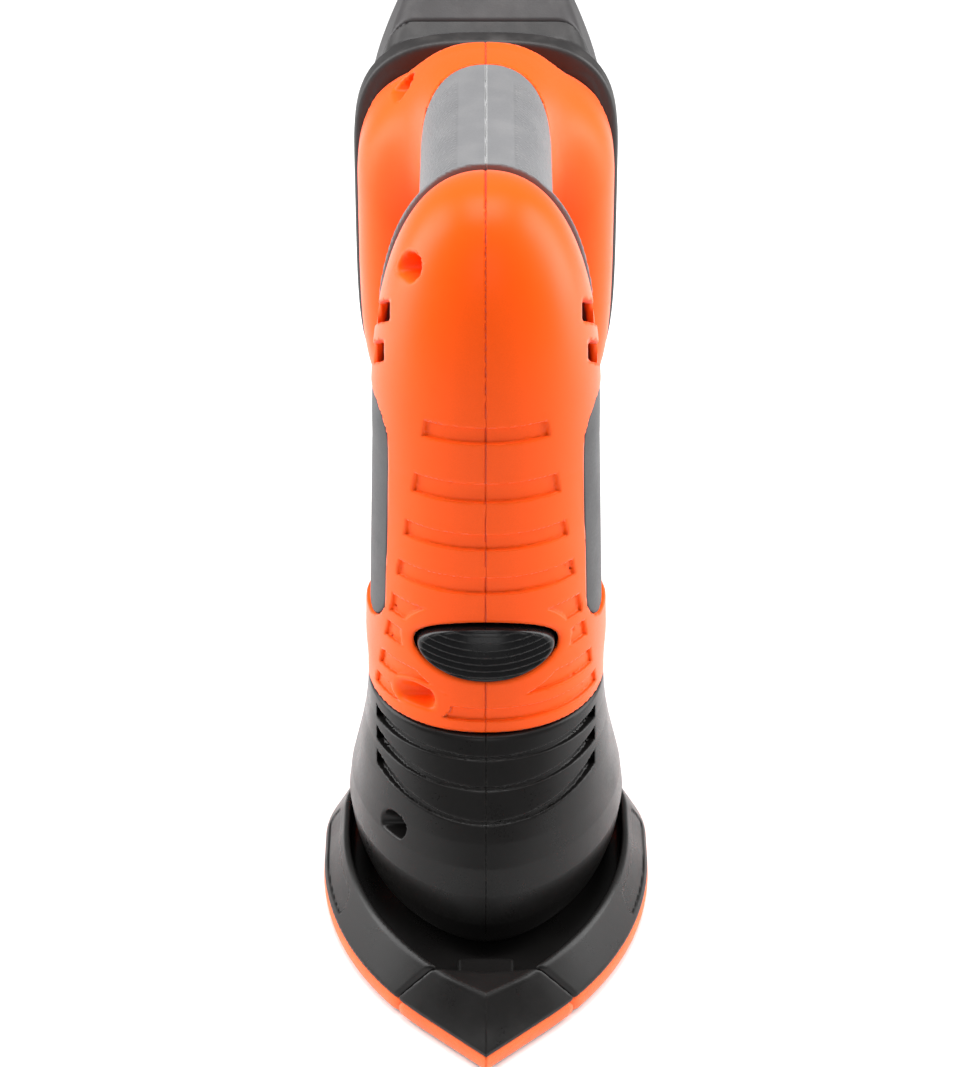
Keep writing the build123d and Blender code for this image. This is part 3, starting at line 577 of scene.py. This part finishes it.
def battery_rear(x, y, z):
    outer = battery_form(x, y, z)
    shape = cut(outer, outer + 2.0, 0.3)
    shape = soft_max(shape, 156.05 - y, 0.5)
    for z0 in range(100, 180, 12):
        groove = np.maximum(box(x, y, z, (-24, 150, z0), (24, 200, z0 + 3), 0.5), -(outer + 0.8))
        shape = cut(shape, groove, 0.4)
    for z0 in range(108, 165, 8):
        groove = box(np.abs(x), y, z, (25, 162, z0), (50, 180, z0 + 3), 0.5)
        shape = cut(shape, np.maximum(groove, -(outer + 0.8)), 0.4)
    return shape


def trigger(x, y, z):
    finger = box(x, y, z, (-8.4, 44, 152), (8.4, 68, 162), 2.2)
    finger = cut(finger, length(y - 53, z - 141.5) - 14.5, 1.6)
    grip = np.abs((y - 53) / 2.2 - np.round((y - 53) / 2.2)) * 2.2 - 0.45
    finger = cut(finger, np.maximum(np.maximum(grip, np.abs(x) - 6), np.maximum(z - 157, finger * -1 - 0.35)), 0.2)
    guide = box(x, y, z, (-8.4, 45.5, 158), (8.4, 66.5, 167), 0.4)
    stem = box(x, y, z, (-2, 52, 165), (2, 60, 176.5), 0.3)
    shape = soft_min(soft_min(finger, guide, 0.5), stem, 0.5)
    return cut(shape, disc(x, y, z, 3.0, 163, 180, 0, 64), 0.2)


# ---------------------------------------------------------------- pad layers and small hard pieces
def pad_outline(inset, tip=None, count=180):
    """Ring of points round the pad, or round one side of the tip seam, at an inset from its edge."""
    turn = np.linspace(0, 2 * np.pi, count, endpoint=False)
    centre = 0.0 if tip is None else (-2.0 if not tip else -77.0)
    points = []
    for angle in turn:
        dx, dy = math.cos(angle), math.sin(angle)
        near, far = 0.0, 120.0
        for _ in range(40):
            mid = (near + far) / 2
            x, y = np.array([mid * dx]), np.array([centre + mid * dy])
            value = pad_field(x, y) + inset
            if tip is not None:
                seam = tip_line(x, y) if tip else -tip_line(x, y)
                value = np.maximum(value, seam + 0.2 + inset)
            if value[0] < 0:
                near = mid
            else:
                far = mid
        points.append((near * dx, centre + near * dy))
    return points


def layer_piece(name, rows, tip, body, nodes, material):
    """Flat pad layer lofted through (height, inset) rows, with a crowned edge."""
    verts = []
    for height, inset in rows:
        verts += [(x * MM, y * MM, height * MM) for x, y in pad_outline(inset, tip)]
    n = len(verts) // len(rows)
    faces = []
    for row in range(len(rows) - 1):
        for i in range(n):
            j = (i + 1) % n
            faces.append((row * n + i, row * n + j, (row + 1) * n + j, (row + 1) * n + i))
    faces.append(tuple(reversed(range(n))))
    faces.append(tuple((len(rows) - 1) * n + i for i in range(n)))
    return mesh_piece(name, verts, faces, body, nodes, material)


def mesh_piece(name, verts, faces, body, nodes, material):
    mesh = bpy.data.meshes.new(name)
    mesh.from_pydata(verts, [], faces)
    mesh.materials.append(material)
    for polygon in mesh.polygons:
        polygon.use_smooth = len(polygon.vertices) == 4
    obj = bpy.data.objects.new(name, mesh)
    bpy.context.collection.objects.link(obj)
    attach(obj, body)
    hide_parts(*nodes)
    return obj


# ---------------------------------------------------------------- materials
class Material:
    """Node material being built up; every pattern is sized in mm on the object's own coordinates."""

    def __init__(self, name, colour, roughness, metallic=0.0):
        self.material = bpy.data.materials.new(name)
        self.material.use_nodes = True
        self.nodes = self.material.node_tree.nodes
        self.links = self.material.node_tree.links
        self.shader = self.nodes["Principled BSDF"]
        self.shader.inputs["Metallic"].default_value = metallic
        self.place = self.add("ShaderNodeTexCoord").outputs["Object"]
        self.colour = self.value_colour(colour)
        self.roughness = self.value(roughness)
        self.normal = None

    def add(self, kind, inputs=None, **settings):
        node = self.nodes.new(kind)
        for key, value in settings.items():
            setattr(node, key, value)
        for key, value in (inputs or {}).items():
            if isinstance(value, bpy.types.NodeSocket):
                self.links.new(value, node.inputs[key])
            else:
                node.inputs[key].default_value = value
        return node

    def value(self, number):
        node = self.add("ShaderNodeValue")
        node.outputs[0].default_value = number
        return node.outputs[0]

    def value_colour(self, colour):
        node = self.add("ShaderNodeRGB")
        node.outputs[0].default_value = (*colour, 1)
        return node.outputs[0]

    def math(self, operation, a, b=0.0):
        return self.add("ShaderNodeMath", {0: a, 1: b}, operation=operation).outputs[0]

    def noise(self, size_mm, detail=3.0, stretch=(1, 1, 1)):
        """Noise from 0 to 1 whose grains are about size_mm across."""
        place = self.place
        if stretch != (1, 1, 1):
            place = self.add("ShaderNodeMapping", {"Vector": self.place, "Scale": stretch}).outputs[0]
        return self.add("ShaderNodeTexNoise", {"Vector": place, "Scale": 1000 / size_mm, "Detail": detail}).outputs[0]

    def cells(self, size_mm, feature="F1"):
        return self.add("ShaderNodeTexVoronoi", {"Vector": self.place, "Scale": 1000 / size_mm},
                        feature=feature).outputs["Distance"]

    def ramp(self, value, low, high, to_low=0.0, to_high=1.0):
        return self.add("ShaderNodeMapRange", {"Value": value, "From Min": low, "From Max": high,
                                               "To Min": to_low, "To Max": to_high}).outputs[0]

    def tint(self, mask, colour):
        """Mixes another colour in where the mask is 1."""
        node = self.add("ShaderNodeMix", data_type="RGBA")
        self.links.new(mask, node.inputs[0])
        self.links.new(self.colour, node.inputs[6])
        node.inputs[7].default_value = (*colour, 1)
        self.colour = node.outputs[2]
        return self

    def vary(self, size_mm, amount, detail=3.0):
        """Lightens and darkens the colour in soft patches."""
        shade = self.ramp(self.noise(size_mm, detail), 0.3, 0.7, 1 - amount, 1 + amount)
        node = self.add("ShaderNodeHueSaturation", {"Value": shade, "Color": self.colour})
        self.colour = node.outputs[0]
        return self

    def polish(self, size_mm, amount, detail=4.0, stretch=(1, 1, 1)):
        """Varies the roughness."""
        change = self.ramp(self.noise(size_mm, detail, stretch), 0.3, 0.7, -amount, amount)
        self.roughness = self.math("ADD", self.roughness, change)
        return self

    def bump(self, height, depth_mm, strength=1.0):
        inputs = {"Height": height, "Distance": depth_mm * MM, "Strength": strength}
        if self.normal is not None:
            inputs["Normal"] = self.normal
        self.normal = self.add("ShaderNodeBump", inputs).outputs[0]
        return self

    def soften_edges(self, radius_mm=0.3):
        self.normal = self.add("ShaderNodeBevel", {"Radius": radius_mm * MM}, samples=4).outputs[0]
        return self

    def wear_and_edge_highlight(self, colour, amount=0.5, radius_mm=0.6):
        """Lighter and smoother where the surface turns sharply, broken up by noise: rubbed wear, and on the orange
        shell a painted edge highlight.
        """
        wide = self.add("ShaderNodeBevel", {"Radius": radius_mm * MM}, samples=4).outputs[0]
        plain = self.add("ShaderNodeNewGeometry").outputs["Normal"]
        turn = self.add("ShaderNodeVectorMath", {0: wide, 1: plain}, operation="DOT_PRODUCT").outputs["Value"]
        edge = self.ramp(turn, 0.985, 0.86)
        broken = self.ramp(self.noise(1.6, 5), 0.38, 0.62)
        mask = self.math("MULTIPLY", self.math("MULTIPLY", edge, broken), amount)
        self.tint(mask, colour)
        self.roughness = self.math("SUBTRACT", self.roughness, self.math("MULTIPLY", mask, 0.15))
        return self

    def dust(self, colour, amount=0.2):
        """Pale dust settled in patches on faces that look up."""
        up = self.add("ShaderNodeSeparateXYZ", {0: self.add("ShaderNodeNewGeometry").outputs["Normal"]}).outputs[2]
        patch = self.ramp(self.noise(9, 6), 0.45, 0.75)
        mask = self.math("MULTIPLY", self.math("MULTIPLY", self.ramp(up, 0.2, 1), patch), amount)
        return self.tint(mask, colour)

    def set(self, **inputs):
        for key, value in inputs.items():
            self.shader.inputs[key.replace("_", " ")].default_value = value
        return self

    def done(self):
        self.links.new(self.colour, self.shader.inputs["Base Color"])
        self.links.new(self.roughness, self.shader.inputs["Roughness"])
        if self.normal is not None:
            self.links.new(self.normal, self.shader.inputs["Normal"])
        return self.material


def plastic(name, colour, roughness, grain_mm=0.35, depth_mm=0.012, worn=None, radius_mm=0.3, gloss=0.5):
    """Moulded plastic with a spark-etched grain, faint flow patches and rubbed edges."""
    m = Material(name, colour, roughness).soften_edges(radius_mm)
    m.vary(30, 0.035).vary(0.5, 0.03, 2).polish(12, 0.05).polish(0.8, 0.03)
    if worn:
        m.wear_and_edge_highlight(worn, 0.35)
    m.bump(m.noise(grain_mm, 2), depth_mm).bump(m.noise(14, 2), 0.05)
    return m.set(Specular_IOR_Level=gloss).done()


def orange_plastic():
    m = Material("orange_plastic", (0.93, 0.088, 0.0005), 0.40).soften_edges(0.25)
    m.vary(38, 0.03).vary(0.4, 0.025, 2).polish(15, 0.04).polish(0.7, 0.03)
    # painted highlight: pale pinkish edges and groove rims on the orange shell
    m.wear_and_edge_highlight((1.0, 0.25, 0.08), 0.15)
    m.bump(m.noise(0.3, 2), 0.009).bump(m.noise(18, 2), 0.06)
    return m.set(Specular_IOR_Level=0.18, Sheen_Weight=0.14, Sheen_Roughness=0.35).done()


def grip_rubber():
    """Grey soft cover: stippled pads on both sides of a smooth middle band."""
    m = Material("grip_rubber", (0.140, 0.140, 0.145), 0.6).soften_edges(0.4)
    split = m.add("ShaderNodeSeparateXYZ", {0: m.place})
    across = m.math("ABSOLUTE", split.outputs[0])
    side = m.ramp(across, 0.0078, 0.0084)
    front = m.ramp(split.outputs[1], 0.022, 0.024)
    rear = m.ramp(split.outputs[1], 0.104, 0.100)
    patch = m.math("MULTIPLY", m.math("MULTIPLY", side, front), rear)
    dots = m.ramp(m.cells(1.15), 0.18, 0.52, 1, 0)
    # painted shade: the stippled pads darkened in the hollows between the raised dots
    m.tint(m.math("MULTIPLY", patch, m.ramp(dots, 0.0, 1.0, 0.30, 0.0)), (0.10, 0.10, 0.105))
    # painted highlight: a pale line along the middle seam
    m.tint(m.ramp(across, 0.0005, 0.0001, 0.0, 0.6), (0.5, 0.5, 0.5))
    m.vary(22, 0.05).vary(0.7, 0.04, 2).polish(9, 0.06)
    m.bump(m.math("MULTIPLY", patch, dots), 0.16).bump(m.noise(0.35, 3), 0.02)
    m.dust((0.5, 0.48, 0.45), 0.06)
    return m.set(Sheen_Weight=0.12, Sheen_Roughness=0.5).done()


def metal(name, colour, roughness, stretch=(1, 1, 40), grain_mm=2.5, depth_mm=0.006, worn=(0.9, 0.9, 0.9)):
    """Ground or turned metal with fine directional marks."""
    m = Material(name, colour, roughness, 1.0).soften_edges(0.2)
    m.vary(6, 0.06).polish(grain_mm, 0.10, 5, stretch).polish(9, 0.05)
    m.wear_and_edge_highlight(worn, 0.4, 0.35)
    m.bump(m.noise(grain_mm, 5, stretch), depth_mm)
    return m.done()


def cast_iron():
    m = Material("cast_iron", (0.2, 0.2, 0.205), 0.55, 0.8).soften_edges(0.3)
    m.vary(5, 0.12).polish(2, 0.1)
    m.wear_and_edge_highlight((0.5, 0.5, 0.5), 0.5).bump(m.noise(0.9, 6), 0.07)
    return m.done()


def ferrite():
    m = Material("ferrite", (0.05, 0.05, 0.055), 0.5, 0.2).soften_edges(0.2)
    m.vary(0.6, 0.15, 4).polish(1, 0.1).wear_and_edge_highlight((0.2, 0.2, 0.21), 0.5)
    return m.bump(m.noise(0.4, 5), 0.03).done()


def laminated_steel(name, colour):
    """Stacked sheets seen edge-on as fine level lines."""
    m = Material(name, colour, 0.4, 1.0).soften_edges(0.15)
    height = m.add("ShaderNodeSeparateXYZ", {0: m.place}).outputs[2]
    sheets = m.math("SINE", m.math("MULTIPLY", height, 2 * math.pi / 0.0005))
    m.tint(m.ramp(sheets, -1, 1, 0.0, 0.35), (0.12, 0.11, 0.11))
    m.vary(4, 0.08).polish(3, 0.08).bump(sheets, 0.02)
    return m.done()


def copper():
    m = Material("copper", (0.78, 0.36, 0.17), 0.28, 1.0).soften_edges(0.12)
    m.tint(m.ramp(m.noise(3, 6), 0.5, 0.8), (0.32, 0.14, 0.08))
    m.polish(1.5, 0.1).bump(m.noise(0.8, 4, (1, 1, 12)), 0.006)
    return m.done()


def carbon():
    m = Material("pressed_carbon", (0.018, 0.018, 0.02), 0.6).soften_edges(0.15)
    m.tint(m.ramp(m.noise(0.2, 2), 0.6, 0.75), (0.09, 0.09, 0.09))
    return m.bump(m.noise(0.25, 4), 0.02).done()


def foam(name, colour):
    """Closed-cell foam: small open pores on a soft skin."""
    m = Material(name, colour, 0.7).soften_edges(0.3)
    pores = m.ramp(m.cells(0.75), 0.05, 0.42)
    # painted shade: the pores darkened where shade falls inside them
    m.tint(m.ramp(pores, 0, 1, 0.30, 0), tuple(c * 0.55 for c in colour))
    m.vary(8, 0.06).bump(pores, 0.07).bump(m.noise(3, 3), 0.08)
    return m.set(Subsurface_Weight=0.06, Subsurface_Radius=(0.003, 0.001, 0.0005), Sheen_Weight=0.15).done()


def hook_tape():
    m = Material("hook_tape", (0.022, 0.022, 0.024), 0.6).soften_edges(0.2)
    hooks = m.ramp(m.cells(1.0), 0.1, 0.45, 1, 0)
    # painted highlight: the raised hooks lightened
    m.tint(m.math("MULTIPLY", hooks, 0.5), (0.075, 0.075, 0.08))
    weave = m.noise(0.9, 2, (1, 8, 1))
    return m.bump(hooks, 0.35).bump(weave, 0.08).set(Sheen_Weight=0.3).done()


def post_rubber():
    m = Material("post_rubber", (0.02, 0.02, 0.021), 0.7).soften_edges(0.3)
    m.vary(3, 0.15).tint(m.ramp(m.noise(1.2, 5), 0.6, 0.8, 0, 0.4), (0.08, 0.08, 0.08))
    return m.bump(m.noise(0.5, 4), 0.04).set(Sheen_Weight=0.2).done()


def wire_cover(name, colour):
    m = Material(name, colour, 0.4)
    m.vary(2, 0.1).polish(1, 0.08).bump(m.noise(1.2, 3), 0.04)
    return m.set(Coat_Weight=0.2).done()


def cell_wrap():
    """Shrink film with faint lengthwise creases over a metal can."""
    m = Material("cell_wrap", (0.03, 0.13, 0.3), 0.3).soften_edges(0.3)
    creases = m.noise(3, 4, (0.15, 3, 3))
    m.vary(10, 0.06).tint(m.ramp(creases, 0.62, 0.7, 0, 0.5), (0.1, 0.28, 0.5))
    return m.bump(creases, 0.06).set(Coat_Weight=0.5, Coat_Roughness=0.15).done()


def battery_plastic(name, colour):
    m = Material(name, colour, 0.52).soften_edges(0.4)
    m.vary(26, 0.05).vary(0.6, 0.05, 2).polish(10, 0.05)
    m.wear_and_edge_highlight(tuple(c * 2.2 for c in colour), 0.45)
    m.bump(m.noise(0.55, 3), 0.03).dust((0.35, 0.33, 0.32), 0.10)
    return m.done()


def pale_floor():
    m = Material("studio_floor", (0.93, 0.93, 0.93), 0.75)
    m.vary(400, 0.01).polish(60, 0.03).bump(m.noise(2.5, 3), 0.01)
    return m.done()


MATERIALS = {
    "orange_shell": orange_plastic(),
    "grey_overmold": grip_rubber(),
    "grey_panel": plastic("panel_plastic", (0.040, 0.040, 0.042), 0.5, worn=(0.15, 0.15, 0.15), gloss=0.25),
    "screw_steel": metal("zinc_screws", (0.42, 0.42, 0.44), 0.34, (1, 1, 1), 0.8, 0.01),
    "black_ring": plastic("ring_plastic", (0.02, 0.02, 0.02), 0.35, worn=(0.1, 0.1, 0.1)),
    "black_button": plastic("button_plastic", (0.005, 0.005, 0.0055), 0.24, worn=(0.10, 0.095, 0.09), gloss=0.25),
    "bright_steel": metal("bright_steel", (0.66, 0.66, 0.68), 0.2),
    "motor_steel": laminated_steel("motor_steel", (0.5, 0.5, 0.52)),
    "magnet": ferrite(),
    "dark_plastic": plastic("dark_plastic", (0.035, 0.035, 0.038), 0.4, worn=(0.12, 0.12, 0.12)),
    "carbon": carbon(),
    "copper": copper(),
    "red_lead": wire_cover("red_cover", (0.55, 0.012, 0.01)),
    "black_lead": wire_cover("black_cover", (0.015, 0.015, 0.015)),
    "counterweight_iron": cast_iron(),
    "black_trigger": plastic("trigger_plastic", (0.02, 0.02, 0.021), 0.38, worn=(0.12, 0.12, 0.12)),
    "spring_steel": metal("spring_steel", (0.55, 0.55, 0.58), 0.25, (1, 1, 1), 1.0),
    "black_shell": plastic("black_plastic", (0.0065, 0.006, 0.0058), 0.32, 0.4, 0.014, worn=(0.08, 0.075, 0.07),
                           gloss=0.2),
    "neck_alloy": metal("die_cast_alloy", (0.55, 0.56, 0.57), 0.42, (1, 1, 1), 1.5, 0.03),
    "post_rubber": post_rubber(),
    "orange_foam": foam("orange_foam", (0.92, 0.13, 0.018)),
    "hook_nylon": hook_tape(),
    "battery_front": battery_plastic("battery_flange_plastic", (0.014, 0.0125, 0.0125)),
    "battery_rear": battery_plastic("battery_body_plastic", (0.027, 0.0245, 0.0255)),
    "cell_wrap": cell_wrap(),
}


# ---------------------------------------------------------------- pieces
def build_power_unit():
    orange, cover_grey, panel_grey = (MATERIALS[s] for s in ("orange_shell", "grey_overmold", "grey_panel"))
    grooved = (SEAM_ZONE, [(-36, -18, 0.62), (-18, 7, 0.9)],
               [(74, 110, 0.55), (110, 170, 0.66), (170, 200, 0.7), (200, 212, 0.8)])
    halves("housing", housing, (-42, -37, 70), (42, 146, 229), 1.35, "power_unit", orange, grooved)
    halves("grip_overmold", cover, (-28, 9, 160), (28, 116, 226), 0.75, "power_unit", cover_grey)

    def panel_left(x, y, z):
        return panel(-x, y, z)

    field_piece("side_panel_right_shell", panel, (20, -18, 88), (38, 24, 170), 0.6, "power_unit",
                ["side_panel_right"], panel_grey)
    field_piece("side_panel_left_shell", panel_left, (-38, -18, 88), (-20, 24, 170), 0.6, "power_unit",
                ["side_panel_left"], panel_grey)
    ridges = ([], [], [(89, 109, 0.22)])
    field_piece("release_key", release_button, (-23, -38, 86), (23, -19, 112), 0.42, "release", ["release_button"],
                MATERIALS["black_button"], ridges)
    field_piece("trigger_key", trigger, (-10, 42, 148), (10, 70, 180), 0.45, "trigger", ["trigger"],
                MATERIALS["black_trigger"])


def build_head():
    black = MATERIALS["black_shell"]
    grooved = (SEAM_ZONE, [(-52, -20, 0.52)], [(46, 70, 0.4)])
    halves("nose", nose, (-42, -56, 12), (42, 42, 74), 0.8, "head", black, grooved)
    field_piece("platen_tray", platen, (-49, -73, 4), (49, 49, 25), 0.72, "sanding_base", ["platen"],
                black)
    field_piece("tip_tray", tip_carrier, (-27, -94, 4), (27, -54, 20), 0.5, "sanding_base", ["tip_carrier"],
                black)
    foam_rows = [(0.9, 0.9), (1.1, 0.35), (1.6, 0.05), (2.6, -0.15), (3.4, -0.2), (4.3, -0.15), (5.1, 0.05),
                 (5.6, 0.35), (5.8, 0.9)]
    hook_rows = [(0.0, 1.5), (0.12, 1.15), (0.45, 1.0), (0.75, 1.15), (0.9, 1.5)]
    for tip, foam_node, hook_node in ((False, "foam_pad", "hook_face"), (True, "tip_foam", "tip_hook_face")):
        layer_piece(f"{foam_node}_cushion", foam_rows, tip, "sanding_base", [foam_node],
                    MATERIALS["orange_foam"])
        layer_piece(f"{hook_node}_layer", hook_rows, tip, "sanding_base", [hook_node],
                    MATERIALS["hook_nylon"])


def build_battery():
    field_piece("battery_flange", battery_front, (-43, 132, 75), (43, 158, 216), 0.9, "battery",
                ["battery_front_shell"], MATERIALS["battery_front"])
    field_piece("battery_case", battery_rear, (-39, 154, 78), (39, 189, 216), 0.9, "battery",
                ["battery_rear_shell"], MATERIALS["battery_rear"])


def finish_cad_nodes():
    """Every CAD node that still shows gets its slot's material."""
    slots = {part["node"]: part["material_slot"] for part in frame["record"]["subparts"]}
    for node, obj in frame["nodes"].items():
        obj.data.materials.clear()
        obj.data.materials.append(MATERIALS[slots[node]])


def add_light(name, size, energy, place, aim, colour=(1, 1, 1)):
    light = bpy.data.lights.new(name, "AREA")
    light.shape = "RECTANGLE"
    light.size, light.size_y = size
    light.energy = energy
    light.color = colour
    lamp = bpy.data.objects.new(name, light)
    lamp.location = place
    direction = np.array(aim) - np.array(place)
    flat = math.hypot(direction[0], direction[1])
    lamp.rotation_euler = (math.atan2(flat, -direction[2]), 0, math.atan2(direction[1], direction[0]) - math.pi / 2)
    bpy.context.collection.objects.link(lamp)


def build_studio():
    half = 4.0
    mesh = bpy.data.meshes.new("floor")
    mesh.from_pydata([(-half, -half, 0), (half, -half, 0), (half, half, 0), (-half, half, 0)], [], [(0, 1, 2, 3)])
    mesh.materials.append(pale_floor())
    floor = bpy.data.objects.new("floor", mesh)
    floor.location = (0, 0, -0.0002)
    bpy.context.collection.objects.link(floor)
    world = bpy.data.worlds.new("studio")
    world.use_nodes = True
    nodes, links = world.node_tree.nodes, world.node_tree.links
    backdrop = nodes["Background"]
    backdrop.inputs[0].default_value = (1, 1, 1, 1)
    backdrop.inputs[1].default_value = 1.0
    fill = nodes.new("ShaderNodeBackground")
    fill.inputs[0].default_value = (1, 1, 1, 1)
    fill.inputs[1].default_value = 0.30
    mix = nodes.new("ShaderNodeMixShader")
    links.new(nodes.new("ShaderNodeLightPath").outputs["Is Camera Ray"], mix.inputs[0])
    links.new(fill.outputs[0], mix.inputs[1])
    links.new(backdrop.outputs[0], mix.inputs[2])
    links.new(mix.outputs[0], nodes["World Output"].inputs[0])
    bpy.context.scene.world = world
    middle = (0, 0.05, 0.12)
    add_light("left_softbox", (0.5, 0.9), 10.5, (-0.75, 0.15, 0.45), middle)
    add_light("right_softbox", (0.5, 0.9), 10.5, (0.75, 0.15, 0.45), middle)
    add_light("top_softbox", (0.6, 0.6), 9, (0, 0.1, 1.1), middle)
    add_light("front_softbox", (0.5, 0.3), 1.5, (0, -1.0, 0.75), middle)
    bpy.context.scene.view_settings.view_transform = "Standard"


def build_camera():
    """Long lens from in front and above, one metre from the middle of the tool."""
    camera_data = bpy.data.cameras.new("camera")
    camera_data.sensor_width = 36
    camera_data.lens = 118.83
    camera_data.shift_x = -0.00094
    camera = bpy.data.objects.new("camera", camera_data)
    camera.location = (0, -0.8187, 0.6482)
    camera.rotation_euler = (math.radians(57), 0, 0)
    bpy.context.collection.objects.link(camera)
    bpy.context.scene.camera = camera


build_power_unit()
build_head()
build_battery()
finish_cad_nodes()
build_studio()
build_camera()
